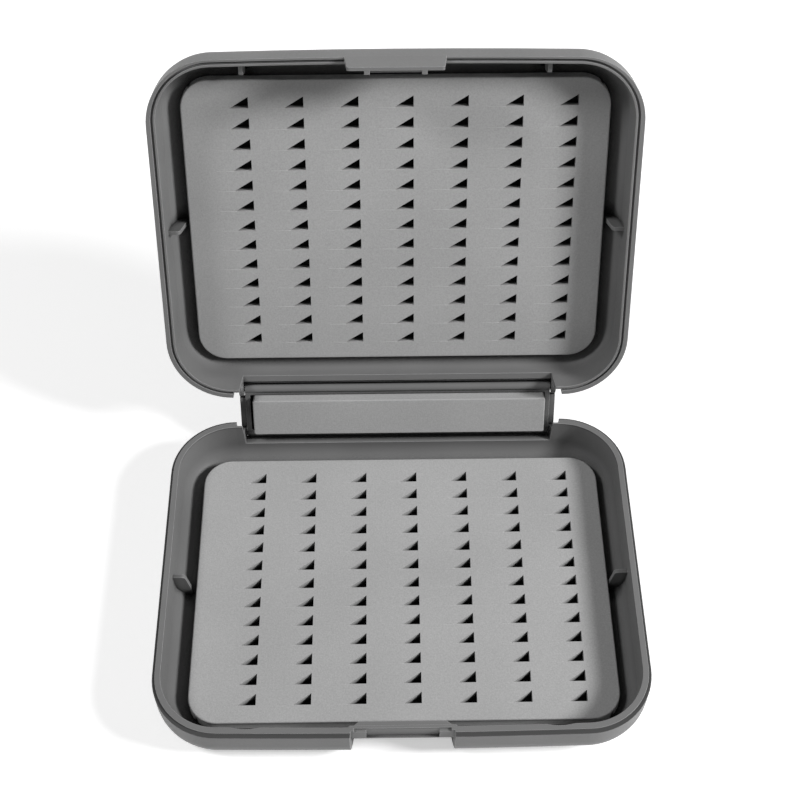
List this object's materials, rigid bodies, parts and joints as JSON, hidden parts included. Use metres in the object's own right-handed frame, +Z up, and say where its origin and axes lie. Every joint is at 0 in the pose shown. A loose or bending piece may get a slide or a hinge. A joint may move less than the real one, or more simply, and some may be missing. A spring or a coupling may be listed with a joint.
{
  "type": "fly box",
  "caption": "Slim folding fly box: two shallow plastic shells on a double-axis spine, slit foam pads inside, snap flap at the front.",
  "frame": {"origin": "middle of the base shell's flat underside", "axes": "+Z up out of the base tray, +Y towards the hinge, +X along the hinge to the right when seen from the latch side"},
  "size_m": [0.1462, 0.1676, 0.1362],
  "materials": {
    "shell_plastic": "matt",
    "spine_plastic": "matt",
    "foam": "matt",
    "film": "matt",
    "pin_steel": "satin"
  },
  "bodies": {
    "base": {"base_shell": "shell_plastic", "base_foam": "foam", "base_film": "film"},
    "spine": {"spine": "spine_plastic", "spine_foam": "foam", "spine_film": "film", "base_pin_left": "pin_steel", "base_pin_right": "pin_steel", "lid_pin_left": "pin_steel", "lid_pin_right": "pin_steel"},
    "lid": {"lid_shell": "shell_plastic", "lid_foam": "foam", "lid_film": "film"}
  },
  "joints": [
    {"name": "base_hinge", "type": "hinge", "parent": "base", "child": "spine", "pos_m": [0, 0.05768, 0.00837], "axis": [1, 0, 0], "range_deg": [-67.9, 22.1]},
    {"name": "lid_hinge", "type": "hinge", "parent": "spine", "child": "lid", "pos_m": [0, 0.06402, 0.02399], "axis": [1, 0, 0], "range_deg": [0, 90]}
  ]
}
